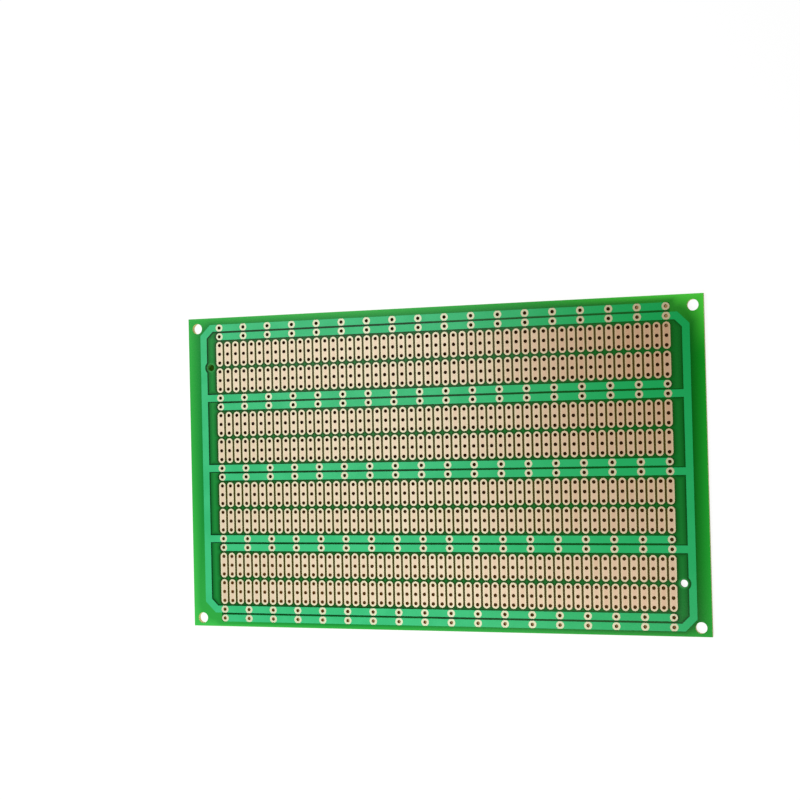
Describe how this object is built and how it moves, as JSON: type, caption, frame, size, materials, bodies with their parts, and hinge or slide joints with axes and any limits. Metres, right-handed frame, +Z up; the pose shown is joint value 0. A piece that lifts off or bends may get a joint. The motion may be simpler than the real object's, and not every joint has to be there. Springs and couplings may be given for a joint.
{
  "type": "prototype board",
  "caption": "Single-sided prototype board: punched laminate with bare copper strips, two interleaved bus combs under green mask, corner holes and tooling holes.",
  "frame": {"origin": "middle of the board's outline, on its underside", "axes": "+X along the board's length, +Y from the front edge to the rear edge, +Z up out of the copper side"},
  "size_m": [0.1492, 0.0892, 0.0013],
  "materials": {
    "laminate": "satin yellow phenolic paper laminate with punched holes",
    "solder_mask": "semi-gloss green solder mask, lighter over copper and darker over bare laminate",
    "copper": "bare copper foil under a pale protective flux, satin"
  },
  "bodies": {
    "root": {"laminate": "laminate", "solder_mask": "solder_mask", "left_bus_comb": "copper", "right_bus_comb": "copper", "strip_row_1": "copper", "strip_row_2": "copper", "strip_row_3": "copper", "strip_row_4": "copper", "strip_row_5": "copper", "strip_row_6": "copper", "strip_row_7": "copper", "strip_row_8": "copper"}
  },
  "joints": []
}
